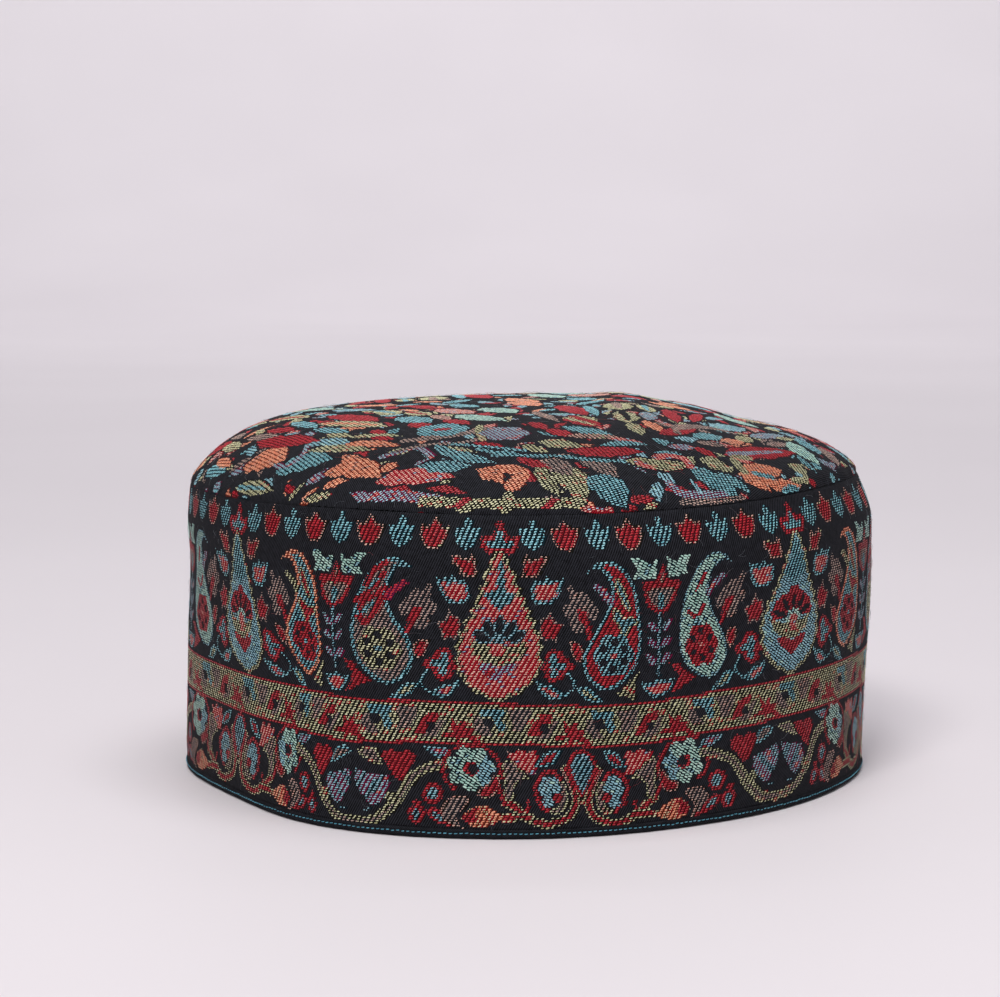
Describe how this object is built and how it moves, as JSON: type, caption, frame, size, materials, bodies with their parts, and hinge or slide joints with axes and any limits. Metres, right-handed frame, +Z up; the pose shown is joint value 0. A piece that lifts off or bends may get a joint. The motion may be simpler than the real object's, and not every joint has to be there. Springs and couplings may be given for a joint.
{
  "type": "kashmiri kani cap",
  "caption": "Round pillbox cap of patterned woven shawl cloth, with a softly domed crown, an upright side band and a narrow folded hem, open underneath for the head.",
  "frame": {"origin": "centre of the hem's underside, on the surface that the cap rests on", "axes": "+Z up through the crown, -Y is the front of the cap, +X to the right of someone facing it"},
  "size_m": [0.1887, 0.1882, 0.1008],
  "materials": {
    "band_cloth": "matte",
    "crown_cloth": "matte",
    "hem_cloth": "matte",
    "yarn_turquoise": "matte",
    "yarn_yellow": "matte",
    "yarn_mint": "matte",
    "yarn_light_blue": "matte",
    "yarn_peach": "matte",
    "yarn_cream": "matte",
    "yarn_taupe": "matte",
    "yarn_red": "matte"
  },
  "bodies": {
    "root": {"side_band": "band_cloth", "crown_top": "crown_cloth", "hem_edge": "hem_cloth"}
  },
  "joints": []
}
